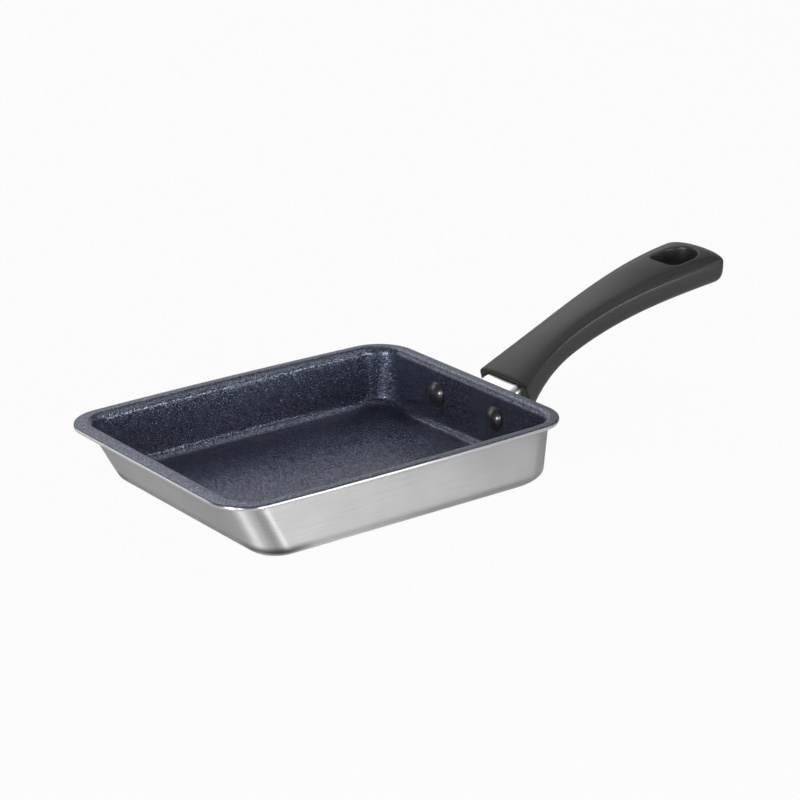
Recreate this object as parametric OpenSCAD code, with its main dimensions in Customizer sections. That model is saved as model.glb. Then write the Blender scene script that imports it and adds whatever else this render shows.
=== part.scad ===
// Rectangular omelette pan with a riveted bracket and a screwed-on grip. Sizes in millimetres.
// The origin is the middle of the flat base, on the table. X runs along the handle and Z is up.

/* [Pan] */
// Length of the rim along the handle
rim_len = 172; // [156:1:190]
// Width of the rim across the handle
rim_wid = 130; // [115:1:150]
// Height of the rim above the table
pan_h = 28.3; // [26.5:0.1:32]
// Thickness of the pressed sheet
sheet_t = 1.8; // [1.4:0.1:2.4]
// Thickness of the non-stick film
coat_t = 0.15; // [0.1:0.05:0.3]
// Flat width of the lip on the far side
far_lip = 5.6; // [4:0.1:7]
// Flat width of the lip on the long sides
side_lip = 3; // [2:0.1:4]
// Flat width of the lip at the handle
handle_lip = 3.2; // [2.4:0.1:4.4]
// Radius under the lip, where the wall rolls over
roll_r = 1.4; // [1:0.1:1.8]
// Lean of the far wall, over which an omelette slides out, in degrees
far_lean = 28.8; // [22:0.2:33]
// Lean of the two long walls, in degrees
side_lean = 1; // [1:0.5:5]
// Lean of the wall that carries the handle, in degrees
handle_lean = 5; // [3:0.5:7]
// Corner radius of the upright walls, seen from above
wall_corner_r = 13; // [11:0.5:15]
// Corner radius of the flat base at the far side
base_corner_r = 9; // [7:0.5:10.5]
// Corner radius of the flat base at the handle
base_handle_r = 18; // [14:0.5:21]
// Radius from the walls to the base, outside
base_fillet_r = 6; // [5:0.1:6.8]
// Outward bow of the long rims at their middle
side_bow = 1.9; // [0:0.1:3]

/* [Rivets] */
// Distance between the two rivets
rivet_gap = 40; // [36:1:43]
// Height of the rivets above the table
rivet_z = 16.1; // [15.4:0.1:16.8]
// Diameter of a rivet's shank
rivet_d = 5; // [4:0.5:6]
// Diameter of the domed head inside the pan
rivet_head_d = 10.8; // [9:0.2:12]
// Height of the domed head
rivet_head_h = 2.6; // [1.8:0.2:3.4]
// Thickness of the thin brim round the head
rivet_brim_t = 0.6; // [0.4:0.1:1]
// Width of the brim round the dome
rivet_brim_w = 0.5; // [0.3:0.1:0.9]
// Diameter of the closed end on the bracket
rivet_tail_d = 8.6; // [7:0.2:10]
// Height of the closed end
rivet_tail_h = 1.8; // [1.2:0.2:2.6]
// Clearance round a rivet's shank
rivet_clear = 0.1; // [0.05:0.05:0.2]

/* [Bracket] */
// Thickness of the stainless sheet
bracket_t = 1.6; // [1.2:0.1:2]
// Width of the riveted plate
plate_w = 54; // [52:1:60]
// Height of the riveted plate
plate_h = 15; // [13:0.5:15.5]
// Corner radius of the riveted plate
plate_r = 5; // [3:0.5:6]
// Upward slope of the neck in degrees
neck_rise = 22; // [20:1:24]
// Width of the neck
neck_w = 23.6; // [22:0.2:24.6]
// Depth of the neck
neck_d = 7; // [6.4:0.2:7.6]
// Outer corner radius of the neck
neck_r = 3; // [2.5:0.5:3.5]
// Thickness of the grip over the neck at its front
front_wall = 2.5; // [2.3:0.1:3]
// How far the neck reaches into the grip
neck_in = 4; // [3:0.5:5]
// Width of the tongue inside the grip
tongue_w = 14; // [13:0.5:15]
// Depth of the tongue
tongue_d = 5.2; // [5:0.1:5.6]
// How far the tongue reaches into the grip
tongue_in = 24; // [20:1:26]
// Clearance between the bracket and the grip's socket
socket_clear = 0.3; // [0.2:0.05:0.4]

/* [Grip] */
// Distance from the rim to the front of the grip
grip_gap = 13.4; // [12:0.2:18]
// Length of the grip along X
grip_len = 118.6; // [108:0.2:132]
// Height of the top face at the front
grip_front_z = 26.4; // [25.8:0.2:29]
// Height of the top face at the rear
grip_rear_z = 64.4; // [58:0.2:72]
// Slope of the top face at the front in degrees
grip_front_rise = 33; // [30:1:36]
// Slope of the top face at the rear in degrees
grip_rear_rise = 5; // [0:1:9]
// Width of the grip at the front
grip_front_w = 33; // [31:0.5:36]
// Width of the grip at its waist
grip_waist_w = 22.2; // [21:0.2:26]
// Width of the grip at the rear
grip_rear_w = 36.8; // [32:0.2:40]
// Depth of the grip at the front
grip_front_d = 20.8; // [20:0.2:23]
// Depth of the grip at its waist
grip_waist_d = 14.6; // [13.4:0.2:16]
// Depth of the grip at the rear
grip_rear_d = 14.6; // [12:0.2:16]
// Distance from the front to the waist
grip_waist_x = 33.5; // [31:0.5:40]
// Height of the rounded top edge above the widest line
grip_edge_h = 2.4; // [2:0.2:4]
// Lean of the front face of the grip in degrees
grip_front_lean = 14; // [8:1:18]
// Length of the rounded rear end
grip_end_len = 6; // [5:0.5:10]
// Drop of the rounded rear end below the top face
grip_end_drop = 1.5; // [0.5:0.1:2.5]
// Length of the hanging hole
hole_len = 20; // [17:0.5:23]
// Width of the hanging hole
hole_w = 18; // [14:0.5:19]
// Corner radius of the hanging hole towards the pan
hole_r = 4.5; // [3:0.5:6]
// Distance from the rear end to the hanging hole
hole_from_rear = 6.6; // [6:0.2:10]

/* [Screw] */
// Diameter of the screw
screw_d = 4; // [3.5:0.1:4.4]
// Distance of the screw from the front of the grip, along the neck
screw_x = 10; // [9:0.5:11]
// Diameter of the screw head
screw_head_d = 7.6; // [7:0.2:8]
// Height of the screw head
screw_head_h = 1.8; // [1.4:0.1:2.2]
// Height of the straight edge of the screw head
screw_edge_h = 0.7; // [0.4:0.1:1]
// Length of each slot of the cross in the screw head
slot_len = 4; // [3:0.1:5]
// Width of each slot
slot_w = 0.9; // [0.6:0.1:1.2]
// Depth of each slot
slot_deep = 1.1; // [0.7:0.1:1.2]
// Width of the welded nut across its flats
nut_w = 7; // [6.6:0.1:7.4]
// Thickness of the welded nut
nut_t = 3.2; // [2.6:0.1:3.4]
// Thickness of the flat washer
washer_t = 0.6; // [0.4:0.1:0.8]
// Diameter of the flat washer
washer_d = 8.6; // [8.2:0.2:9]
// Thickness of the spring washer
spring_t = 0.9; // [0.7:0.1:1.1]
// Diameter of the spring washer
spring_d = 7.2; // [6.8:0.1:7.6]
// Width of the cut in the spring washer
spring_cut = 0.8; // [0.5:0.1:1.2]
// Thickness of the grip under the tongue, on which the washer seats
seat_t = 2; // [1.6:0.1:2.4]
// Clearance round the screw and the washers
screw_clear = 0.2; // [0.1:0.05:0.3]

/* [Hidden] */
$fn = 64;
// Steps of the pan's corners, sides, foot curve and roll
corner_steps = 7;
side_steps = 6;
foot_steps = 5;
roll_steps = 5;
foot_arc = 90 - handle_lean;
roll_from = handle_lean;
// Steps of the grip along its length, over its rear end and round its section
grip_steps = 30;
end_steps = 8;
section_steps = 32;
// How square the grip's section is above and below its widest line
top_power = 2.5;
under_power = 3.6;
// How the grip narrows over its rear end, and the share of its depth that is left there
end_power = 0.6;
end_share = 0.4;
// Each wall of the pan is its flat lip and its lean
far_wall = [far_lip, far_lean];
side_wall = [side_lip, side_lean];
handle_wall = [handle_lip, handle_lean];
total_t = sheet_t + coat_t;
roll_z = pan_h - total_t - roll_r;
// Insets are measured from the rim's outline. An offset of 0 is the outside of the sheet.
function wall_top_i(wall, off) = wall[0] + (roll_r + off) * cos(wall[1]);
function wall_top_z(wall, off) = roll_z + (roll_r + off) * sin(wall[1]);
function wall_foot_z(wall, off) = base_fillet_r - (base_fillet_r - off) * sin(wall[1]);
function base_i(wall) = wall_top_i(wall, 0)
    + (wall_top_z(wall, 0) - wall_foot_z(wall, 0)) * tan(wall[1]) + base_fillet_r * cos(wall[1]);
function rest_of(r, h) = sqrt(max(0, r * r - h * h));
function inset(wall, off, z) =
    z >= wall_top_z(wall, off) ? wall[0] + rest_of(roll_r + off, z - roll_z)
    : z >= wall_foot_z(wall, off) ? wall_top_i(wall, off) + (wall_top_z(wall, off) - z) * tan(wall[1])
    : base_i(wall) - rest_of(base_fillet_r - off, base_fillet_r - z);
// The corner radius grows over the roll and shrinks over the foot, as the side wall's inset does
function corner_r(off, z, base_r) =
    z >= wall_foot_z(side_wall, off)
    ? wall_corner_r - off + max(0, wall_top_i(side_wall, off) - inset(side_wall, off, z))
    : base_r + (wall_corner_r - off - base_r)
        * (base_i(side_wall) - inset(side_wall, off, z)) / ((base_fillet_r - off) * cos(side_lean));
lip_corner_r = wall_corner_r + wall_top_i(side_wall, 0);
// The base is centred on the origin, so the rim lies towards the far wall
rim_cx = (base_i(handle_wall) - base_i(far_wall)) / 2;
rim_far_x = rim_cx - rim_len / 2;
rim_end_x = rim_cx + rim_len / 2;
wall_x = rim_end_x - inset(handle_wall, 0, rivet_z);
// Grip and neck
grip_x = rim_end_x + grip_gap;
neck_z = grip_front_z - front_wall;
seat_z = -tongue_d - socket_clear - seat_t;
hole_x = grip_x + grip_len - hole_from_rear - hole_w / 2;
// The neck's sheet runs back past the wall before it is cut there
neck_back = (grip_x - wall_x) / cos(neck_rise) + neck_d;
// Overlap that lets one cut run past a face
over = 1;

function bowed(p, z) = [p.x, p.y * (1 + side_bow * z / pan_h * (1 - pow((p.x - rim_cx) / (rim_len / 2), 2))
    / (rim_wid / 2)), z];

// The bowed long sides have steps along them, and the straight ends have none
function long_steps(c) = c % 2 == 0 ? side_steps : 1;

// One closed outline of the pan at height z, with its corner radii at the far side and at the handle
function outline(i_far, i_handle, i_side, r_far, r_handle, z) =
    let (r = [r_handle, r_far, r_far, r_handle],
        xf = rim_far_x + i_far + r_far, xh = rim_end_x - i_handle - r_handle, y = rim_wid / 2 - i_side,
        centres = [[xh, y - r_handle], [xf, y - r_far], [xf, r_far - y], [xh, r_handle - y]])
    [for (c = [0 : 3])
        let (n = (c + 1) % 4, turn = [-sin(90 * c), cos(90 * c)],
            p = centres[c] + r[c] * turn, q = centres[n] + r[n] * turn)
        each concat(
            [for (k = [0 : corner_steps]) let (a = 90 * (c + k / corner_steps))
                bowed(centres[c] + r[c] * [cos(a), sin(a)], z)],
            [for (k = [1 : long_steps(c) - 1]) bowed(p + (q - p) * k / side_steps, z)])];

function ring(off, z) = outline(inset(far_wall, off, z), inset(handle_wall, off, z),
    inset(side_wall, off, z), corner_r(off, z, base_corner_r), corner_r(off, z, base_handle_r), z);

function lip_ring(z) = outline(0, 0, 0, lip_corner_r, lip_corner_r, z);

function levels(off) = concat(
    [for (k = [0 : foot_steps])
        base_fillet_r - (base_fillet_r - off) * cos(foot_arc * k / foot_steps)],
    [for (k = [0 : roll_steps])
        roll_z + (roll_r + off) * sin(roll_from + (90 - roll_from) * k / roll_steps)]);

// A solid whose surface passes through the rings in turn, closed by the first and the last.
// The steps round a ring that are listed in flat get one four-sided face, the others two triangles.
// Their diagonal runs the same way whether the rings rise or fall, so two layers share one surface.
module skin(rings, flat = []) {
    n = len(rings[0]);
    last = (len(rings) - 1) * n;
    polyhedron(
        points = [for (r = rings) each r],
        faces = concat(
            [[for (j = [0 : n - 1]) j]],
            [for (i = [0 : len(rings) - 2], j = [0 : n - 1])
                let (a = i * n + j, b = i * n + (j + 1) % n, c = b + n, d = a + n)
                each (len(search(j, flat)) > 0 ? [[a, d, c, b]]
                    : rings[i + 1][0].z < rings[i][0].z ? [[a, d, b], [b, d, c]]
                    : [[a, c, b], [a, d, c]])],
            [[for (j = [n - 1 : -1 : 0]) last + j]]),
        convexity = 6);
}

// A pressed layer of the pan between two offsets from the outside of the sheet
module layer(off_out, off_in) {
    up = levels(off_out);
    down = levels(off_in);
    half = 2 * (corner_steps + 1) + side_steps;
    skin(concat(
        [for (z = up) ring(off_out, z)],
        [lip_ring(pan_h - total_t + off_out), lip_ring(pan_h - total_t + off_in)],
        [for (k = [len(down) - 1 : -1 : 0]) ring(off_in, down[k])]),
        [half - 2, 2 * half - 3]);
}

// Places its children on the outside of the handle wall, with Z pointing away from the pan
module at_rivet(y) {
    translate([wall_x, y, rivet_z]) rotate([0, 90 + handle_lean, 0]) children();
}

module rivet_holes() {
    for (side = [-1, 1])
        at_rivet(side * rivet_gap / 2)
            cylinder(h = 2 * (total_t + bracket_t + over), d = rivet_d + 2 * rivet_clear, center = true);
}

// Places its children at the front of the grip, with X up along the neck and Z out of its top
module at_neck(x = 0) {
    translate([grip_x, 0, neck_z]) rotate([0, -neck_rise, 0]) translate([x, 0, 0]) children();
}

module pan_body() {
    color([0.72, 0.72, 0.73])
    difference() {
        layer(0, sheet_t);
        rivet_holes();
    }
}

module nonstick_coating() {
    color([0.16, 0.17, 0.21])
    difference() {
        layer(sheet_t, total_t);
        rivet_holes();
    }
}

// Outline of a bent sheet seen along its length: a flat top with rounded edges and two sides
module channel_face(w, d, r) {
    translate([-w / 2, -d]) square([w, d - r]);
    translate([-w / 2 + r, -d]) square([w - 2 * r, d]);
    for (side = [-1, 1])
        translate([side * (w / 2 - r), -r]) circle(r);
}

module channel_solid(x0, x1, w, d, r) {
    translate([x0, 0, 0]) rotate([90, 0, 90]) linear_extrude(x1 - x0) channel_face(w, d, r);
}

module channel(x0, x1, w, d) {
    difference() {
        channel_solid(x0, x1, w, d, neck_r);
        translate([0, 0, -bracket_t])
            channel_solid(x0 - over, x1 + over, w - 2 * bracket_t, d + over, neck_r - bracket_t);
    }
}

module rounded_plate(w, h, r, t) {
    linear_extrude(t) {
        square([h - 2 * r, w], center = true);
        square([h, w - 2 * r], center = true);
        for (sx = [-1, 1], sy = [-1, 1])
            translate([sx * (h / 2 - r), sy * (w / 2 - r)]) circle(r);
    }
}

module handle_bracket() {
    color([0.86, 0.86, 0.87])
    difference() {
        union() {
            at_rivet(0) rounded_plate(plate_w, plate_h, plate_r, bracket_t);
            at_neck() channel(-neck_back, neck_in, neck_w, neck_d);
            at_neck() channel(neck_in - bracket_t, tongue_in, tongue_w, tongue_d);
        }
        at_rivet(0) translate([-plate_w, -plate_w, -plate_w]) cube([2 * plate_w, 2 * plate_w, plate_w]);
        rivet_holes();
        at_neck(screw_x) translate([0, 0, -bracket_t - over])
            cylinder(h = bracket_t + 2 * over, d = screw_d + 2 * screw_clear);
    }
}

// Half outline of a domed disc: a straight brim and a quarter ellipse over it
module dome(d, h, brim_t, brim_w) {
    r = d / 2 - brim_w;
    rotate_extrude()
        polygon(concat([[0, 0], [d / 2, 0], [d / 2, brim_t]],
            [for (a = [0 : 10 : 90]) [r * cos(a), brim_t + (h - brim_t) * sin(a)]]));
}

module rivet(y) {
    color([0.14, 0.14, 0.16])
    at_rivet(y) {
        translate([0, 0, -total_t]) mirror([0, 0, 1])
            dome(rivet_head_d, rivet_head_h, rivet_brim_t, rivet_brim_w);
        translate([0, 0, -total_t - rivet_brim_t / 2])
            cylinder(h = total_t + bracket_t + rivet_brim_t, d = rivet_d);
        translate([0, 0, bracket_t]) dome(rivet_tail_d, rivet_tail_h, rivet_brim_t, 0);
    }
}

module rivet_left() {
    rivet(rivet_gap / 2);
}

module rivet_right() {
    rivet(-rivet_gap / 2);
}

function ease(v) = v * v * (3 - 2 * v);

function grip_top(x) = let (u = x / grip_len)
    grip_front_z * (1 - ease(u)) + grip_rear_z * ease(u)
    + grip_len * u * (1 - u) * (tan(grip_front_rise) * (1 - u) - tan(grip_rear_rise) * u);

// A size that falls from the front to the waist and eases back to the rear
function waisted(x, front, waist, rear) = x < grip_waist_x
    ? waist + (front - waist) * pow(1 - x / grip_waist_x, 2)
    : waist + (rear - waist) * ease((x - grip_waist_x) / (grip_len - grip_waist_x));

function bent(v, power) = sign(v) * pow(abs(v), 2 / power);

// One section of the grip, scaled towards its rounded rear end and leaning at its front
function section(x, wide, deep) =
    let (w = wide * waisted(x, grip_front_w, grip_waist_w, grip_rear_w) / 2,
        d = waisted(x, grip_front_d, grip_waist_d, grip_rear_d),
        z = grip_top(x) - grip_edge_h - (1 - deep) * grip_end_drop / (1 - end_share),
        lean = tan(grip_front_lean) * pow(max(0, 1 - x / grip_waist_x), 2))
    [for (k = [0 : section_steps - 1])
        let (a = 360 * k / section_steps, power = sin(a) < 0 ? under_power : top_power,
            h = sin(a) < 0 ? d - grip_edge_h : grip_edge_h,
            drop = deep * h * bent(sin(a), power))
        [grip_x + x + lean * (grip_edge_h - drop), w * bent(cos(a), power), z + drop]];

module grip_form() {
    body = grip_len - grip_end_len;
    skin(concat(
        [for (k = [0 : grip_steps]) section(body * k / grip_steps, 1, 1)],
        [for (k = [1 : end_steps]) let (a = 86 * k / end_steps)
            section(body + grip_end_len * sin(a), pow(cos(a), end_power),
                end_share + (1 - end_share) * pow(cos(a), end_power))]));
}

// The hanging hole is straight towards the pan and round towards the rear
module hanging_hole_face() {
    front = hole_len - hole_w / 2;
    circle(hole_w / 2);
    translate([-front + hole_r, -hole_w / 2]) square([front - hole_r, hole_w]);
    translate([-front, -hole_w / 2 + hole_r]) square([front, hole_w - 2 * hole_r]);
    for (side = [-1, 1])
        translate([-front + hole_r, side * (hole_w / 2 - hole_r)]) circle(hole_r);
}

module handle_grip() {
    c = socket_clear;
    color([0.27, 0.27, 0.28])
    difference() {
        grip_form();
        at_neck() translate([0, 0, c]) {
            channel_solid(-neck_d, neck_in + c, neck_w + 2 * c, neck_d + 2 * c, neck_r + c);
            channel_solid(0, tongue_in + c, tongue_w + 2 * c, tongue_d + 2 * c, neck_r + c);
        }
        at_neck(screw_x) {
            translate([0, 0, seat_z - over]) cylinder(h = seat_t + 2 * over, d = screw_d + 4 * screw_clear);
            translate([0, 0, seat_z - grip_front_d])
                cylinder(h = grip_front_d, d = washer_d + 2 * screw_clear);
        }
        translate([hole_x, 0, grip_front_z]) linear_extrude(grip_rear_z) hanging_hole_face();
    }
}

module handle_screw() {
    top = -screw_clear;
    under_head = seat_z - washer_t - spring_t;
    color([0.8, 0.8, 0.82])
    at_neck(screw_x) difference() {
        union() {
            translate([0, 0, under_head]) cylinder(h = top - under_head, d = screw_d);
            translate([0, 0, under_head]) mirror([0, 0, 1])
                dome(screw_head_d, screw_head_h, screw_edge_h, 0);
        }
        for (a = [0, 90])
            rotate([0, 0, a]) translate([-slot_len / 2, -slot_w / 2, under_head - screw_head_h - over])
                cube([slot_len, slot_w, over + slot_deep]);
    }
}

module spring_washer() {
    color([0.62, 0.62, 0.64])
    at_neck(screw_x) translate([0, 0, seat_z - washer_t - spring_t]) difference() {
        cylinder(h = spring_t, d = spring_d);
        translate([0, 0, -over]) cylinder(h = spring_t + 2 * over, d = screw_d + 2 * screw_clear);
        translate([0, -spring_cut / 2, -over]) cube([spring_d, spring_cut, spring_t + 2 * over]);
    }
}

module flat_washer() {
    color([0.7, 0.7, 0.72])
    at_neck(screw_x) translate([0, 0, seat_z - washer_t]) difference() {
        cylinder(h = washer_t, d = washer_d);
        translate([0, 0, -over]) cylinder(h = washer_t + 2 * over, d = screw_d + 2 * screw_clear);
    }
}

module weld_nut() {
    color([0.6, 0.58, 0.52])
    at_neck(screw_x) translate([0, 0, -bracket_t - nut_t]) difference() {
        cylinder(h = nut_t, d = nut_w / cos(30), $fn = 6);
        translate([0, 0, -over]) cylinder(h = nut_t + 2 * over, d = screw_d + screw_clear);
    }
}

pan_body();
nonstick_coating();
handle_bracket();
rivet_left();
rivet_right();
handle_grip();
handle_screw();
spring_washer();
flat_washer();
weld_nut();
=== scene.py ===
# %% [markdown]
# # A rectangular omelette pan, dressed for the camera
#
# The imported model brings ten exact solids: the pressed pan, its dark film, a bracket, two rivets,
# a grip, and the screw, washers and nut inside the grip. Their places and sizes are right, but
# their curves are made of flat facets. This lesson keeps the places and sizes, gives the pieces
# that show smooth surfaces worked out from the same formulas, and then gives every piece its
# finish.

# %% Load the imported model
import math

import bpy
import numpy as np
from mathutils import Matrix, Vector


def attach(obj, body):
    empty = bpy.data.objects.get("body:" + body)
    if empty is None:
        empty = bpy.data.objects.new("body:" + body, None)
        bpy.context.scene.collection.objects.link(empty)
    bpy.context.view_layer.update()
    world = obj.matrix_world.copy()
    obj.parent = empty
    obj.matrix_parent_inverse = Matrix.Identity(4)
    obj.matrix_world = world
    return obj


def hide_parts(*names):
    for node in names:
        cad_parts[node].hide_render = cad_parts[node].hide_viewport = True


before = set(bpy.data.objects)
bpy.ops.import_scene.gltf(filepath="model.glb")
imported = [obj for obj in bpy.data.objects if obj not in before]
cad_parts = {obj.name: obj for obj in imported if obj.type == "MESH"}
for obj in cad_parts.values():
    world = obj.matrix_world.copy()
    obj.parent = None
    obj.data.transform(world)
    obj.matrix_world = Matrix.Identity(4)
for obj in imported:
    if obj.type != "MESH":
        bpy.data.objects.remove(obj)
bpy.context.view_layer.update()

MM = 0.001
scene = bpy.context.scene
print("solids:", sorted(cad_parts))

# %% [markdown]
# ## Putting numpy grids into meshes
#
# Most pieces are a grid of points: rows follow a profile, columns go round the piece. One helper
# turns such a grid into a closed mesh. It could be done face by face in bmesh, but whole arrays
# are shorter and faster.

# %% Grid to mesh
def new_piece(name, points, quads, caps=()):
    """A mesh object from points in millimetres, an array of four-sided faces and end polygons."""
    corners = [np.asarray(q, np.int32).ravel() for q in (quads, *caps)]
    sizes = np.concatenate([np.full(len(quads), 4)] + [[len(c)] for c in corners[1:]])
    starts = np.concatenate([[0], np.cumsum(sizes)[:-1]])
    mesh = bpy.data.meshes.new(name)
    mesh.vertices.add(len(points))
    mesh.vertices.foreach_set("co", (np.asarray(points) * MM).astype(np.float32).ravel())
    mesh.loops.add(int(sizes.sum()))
    mesh.loops.foreach_set("vertex_index", np.concatenate(corners))
    mesh.polygons.add(len(sizes))
    mesh.polygons.foreach_set("loop_start", starts.astype(np.int32))
    mesh.update(calc_edges=True)
    mesh.validate()
    piece = bpy.data.objects.new(name, mesh)
    scene.collection.objects.link(piece)
    return piece


def grid_quads(rows, columns, first=0, turn=False):
    """Four-sided faces of a grid whose columns close into a ring. turn flips the side they face."""
    i, j = np.meshgrid(np.arange(rows - 1), np.arange(columns), indexing="ij")
    a = i * columns + j
    b = i * columns + (j + 1) % columns
    quads = np.stack([a, b, b + columns, a + columns], -1).reshape(-1, 4) + first
    return quads[:, ::-1] if turn else quads


def ring_solid(name, rings, turn=False):
    """A closed solid: a skin through an array of rings, rows by columns by 3, and two end caps."""
    rows, columns = rings.shape[:2]
    ring = np.arange(columns)
    ends = [ring[::-1], (rows - 1) * columns + ring]
    ends = [e[::-1] for e in ends] if turn else ends
    return new_piece(name, rings.reshape(-1, 3), grid_quads(rows, columns, turn=turn), ends)


def smooth(piece, angle=40):
    """Shades a piece smoothly, but keeps the edges that are sharper than the angle in degrees."""
    piece.data.polygons.foreach_set("use_smooth", np.ones(len(piece.data.polygons), bool))
    piece.data.set_sharp_from_angle(angle=math.radians(angle))
    piece.data.update()
    return piece


def report(piece):
    """Prints a piece's faces and its box in millimetres."""
    co = np.empty(len(piece.data.vertices) * 3, np.float32)
    piece.data.vertices.foreach_get("co", co)
    co = co.reshape(-1, 3) / MM
    low, high = co.min(0).round(1), co.max(0).round(1)
    print(f"{piece.name}: {len(piece.data.polygons)} faces, from {low} to {high} mm")


# %% [markdown]
# ## The pan's form
#
# The real pan is pressed from one sheet: a flat base, a foot curve, four leaning walls, and a
# roll into a flat lip. Seen from above, every height of it is a rectangle with rounded corners.
# So the surface is a function of two parameters, the height along the wall's profile and the way
# round the rectangle, and each of its three kinds of wall has its own lean and lip. All sizes are
# the solids' own, in millimetres.

# %% Sizes of the pan
RIM_LENGTH, RIM_WIDTH, RIM_HEIGHT = 172.0, 130.0, 28.3
SHEET, FILM = 1.8, 0.15
ROLL, FOOT = 1.4, 6.0
CORNER, BASE_CORNER_FAR, BASE_CORNER_HANDLE = 13.0, 9.0, 18.0
BOW = 1.9
WALLS = {  # width of the flat lip and lean of the wall
    "far": (5.6, math.radians(28.8)),
    "side": (3.0, math.radians(1.0)),
    "handle": (3.2, math.radians(5.0)),
}
ROLL_Z = RIM_HEIGHT - SHEET - FILM - ROLL


def wall_top(wall, offset):
    """Inset and height at which the straight wall meets the roll under the lip."""
    lip, lean = WALLS[wall]
    return lip + (ROLL + offset) * math.cos(lean), ROLL_Z + (ROLL + offset) * math.sin(lean)


def foot_z(wall, offset):
    """Height at which the straight wall meets the foot curve."""
    return FOOT - (FOOT - offset) * math.sin(WALLS[wall][1])


def base_inset(wall):
    """Inset of the flat base: down the roll, the leaning wall and the foot curve."""
    lean = WALLS[wall][1]
    inset, z = wall_top(wall, 0)
    return inset + (z - foot_z(wall, 0)) * math.tan(lean) + FOOT * math.cos(lean)


def inset(wall, offset, z):
    """Distance inwards from the rim at height z: a circle, then a slope, then the foot's circle."""
    lip, lean = WALLS[wall]
    top_inset, top_z = wall_top(wall, offset)
    roll = lip + np.sqrt(np.clip((ROLL + offset) ** 2 - (z - ROLL_Z) ** 2, 0, None))
    slope = top_inset + (top_z - z) * math.tan(lean)
    foot = base_inset(wall) - np.sqrt(np.clip((FOOT - offset) ** 2 - (FOOT - z) ** 2, 0, None))
    return np.where(z >= top_z, roll, np.where(z >= foot_z(wall, offset), slope, foot))


def corner_radius(offset, z, base_corner):
    """Corner radius at height z: it grows over the roll and becomes the base's over the foot."""
    side = inset("side", offset, z)
    upper = CORNER - offset + np.clip(wall_top("side", offset)[0] - side, 0, None)
    share = (base_inset("side") - side) / ((FOOT - offset) * math.cos(WALLS["side"][1]))
    lower = base_corner + (CORNER - offset - base_corner) * share
    return np.where(z >= foot_z("side", offset), upper, lower)


RIM_X = (base_inset("handle") - base_inset("far")) / 2
LIP_CORNER = CORNER + wall_top("side", 0)[0]
print(f"middle of the rim at x {RIM_X:.2f} mm, lip corner {LIP_CORNER:.1f} mm")

# %% Rounded rectangles, one for each height
CORNER_STEPS, LONG_STEPS, END_STEPS = 20, 26, 18


def rectangles(far, handle, side, r_far, r_handle, z):
    """Rings of a rounded rectangle. Each argument is an array with one value for each ring: the
    insets from the rim at its three kinds of wall, the corner radii at its two ends, and the
    height. The long sides bow outwards as 1 - u * u, where u runs from -1 to 1 along them, and
    the bow fades towards the base."""
    values = np.broadcast_arrays(far, handle, side, r_far, r_handle, z)
    far, handle, side, r_far, r_handle, z = values
    x0, x1 = RIM_X - RIM_LENGTH / 2 + far, RIM_X + RIM_LENGTH / 2 - handle
    y1 = RIM_WIDTH / 2 - side
    radii = [r_handle, r_far, r_far, r_handle]
    centres = [(x1 - r_handle, y1 - r_handle), (x0 + r_far, y1 - r_far),
               (x0 + r_far, r_far - y1), (x1 - r_handle, r_handle - y1)]
    parts = []
    for corner in range(4):
        after = (corner + 1) % 4
        a = np.radians(90 * corner + np.linspace(0, 90, CORNER_STEPS + 1))
        (cx, cy), r = centres[corner], radii[corner]
        (nx, ny), rn = centres[after], radii[after]
        parts.append(np.stack([cx[:, None] + r[:, None] * np.cos(a),
                               cy[:, None] + r[:, None] * np.sin(a)], -1))
        steps = LONG_STEPS if corner % 2 == 0 else END_STEPS
        t = (np.arange(1, steps) / steps)[None, :]
        turn = math.radians(90 * corner)
        ux, uy = round(-math.sin(turn)), round(math.cos(turn))
        px, py, qx, qy = cx + r * ux, cy + r * uy, nx + rn * ux, ny + rn * uy
        parts.append(np.stack([px[:, None] + (qx - px)[:, None] * t,
                               py[:, None] + (qy - py)[:, None] * t], -1))
    xy = np.concatenate(parts, 1)
    along = (xy[..., 0] - RIM_X) / (RIM_LENGTH / 2)
    xy[..., 1] *= 1 + BOW * z[:, None] / RIM_HEIGHT * (1 - along ** 2) / (RIM_WIDTH / 2)
    return np.concatenate([xy, np.repeat(z[:, None, None], xy.shape[1], 1)], -1)


def wall_rings(offset, steps_foot=16, steps_wall=8, steps_roll=14):
    """Rings up one side of the sheet, at an offset from its outside, from the base to the lip."""
    lean = WALLS["handle"][1]
    sweep = math.pi / 2 - lean
    foot = FOOT - (FOOT - offset) * np.cos(sweep * np.linspace(0, 1, steps_foot))
    roll = ROLL_Z + (ROLL + offset) * np.sin(lean + sweep * np.linspace(0, 1, steps_roll))
    wall = np.linspace(foot[-1], roll[0], steps_wall + 2)[1:-1]
    z = np.concatenate([foot, wall, roll])
    return rectangles(inset("far", offset, z), inset("handle", offset, z), inset("side", offset, z),
                      corner_radius(offset, z, BASE_CORNER_FAR),
                      corner_radius(offset, z, BASE_CORNER_HANDLE), z)


def lip_rings(edge, z):
    """Rings round the edge of the lip, at distances edge inwards from the rim and at heights z."""
    edge, z = np.asarray(edge, float), np.asarray(z, float)
    return rectangles(edge, edge, edge, LIP_CORNER - edge, LIP_CORNER - edge, z)


def base_rings(first, shares):
    """Rings inside a flat ring, shrunk towards its middle, so that the flat has even faces."""
    middle = np.array([0.0, 0.0, first[0, 2]])
    return middle + (first - middle)[None] * np.asarray(shares)[:, None, None]


# %% [markdown]
# ## The pressed sheet
#
# The bare metal shows outside and along the edge of the lip. The trimmed edge is polished to a
# half round, and that half round is what catches the white line of light in the photograph. A
# Bevel modifier could round it, but rings make it exact: thirteen of them follow the half circle
# from below to above.

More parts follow.
